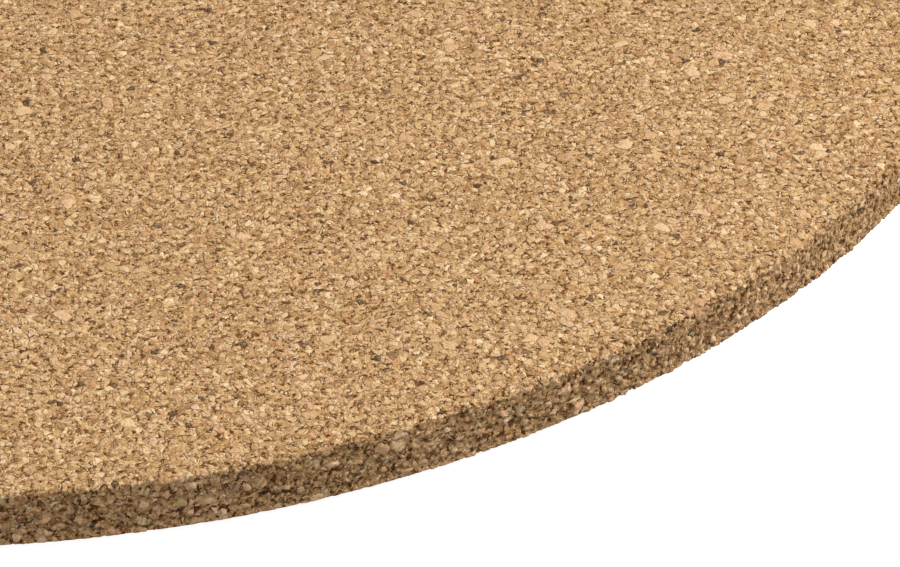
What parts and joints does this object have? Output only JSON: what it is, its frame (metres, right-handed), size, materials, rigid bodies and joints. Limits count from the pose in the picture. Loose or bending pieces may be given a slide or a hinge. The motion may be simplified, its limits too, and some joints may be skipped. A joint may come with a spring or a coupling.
{
  "type": "cork bulletin board",
  "caption": "Frameless round cork bulletin board: a solid granulated cork disc for pinning notices, with peel-and-stick foam pads on its back for a wall.",
  "frame": {"origin": "on the disc's axis, in the plane of the release liners' outer faces, on which the board lies", "axes": "+Z out of the face that takes the pins, away from the wall side; +X through the centre of the first ring pad"},
  "size_m": [0.3799, 0.38, 0.0111],
  "materials": {
    "cork": "matte",
    "pad_foam": "matte",
    "liner_paper": "satin"
  },
  "bodies": {
    "root": {"cork_panel": "cork", "mounting_pad_1": "pad_foam", "mounting_pad_2": "pad_foam", "mounting_pad_3": "pad_foam", "mounting_pad_4": "pad_foam", "mounting_pad_5": "pad_foam", "mounting_pad_6": "pad_foam", "mounting_pad_7": "pad_foam", "release_liner_1": "liner_paper", "release_liner_2": "liner_paper", "release_liner_3": "liner_paper", "release_liner_4": "liner_paper", "release_liner_5": "liner_paper", "release_liner_6": "liner_paper", "release_liner_7": "liner_paper"}
  },
  "joints": []
}
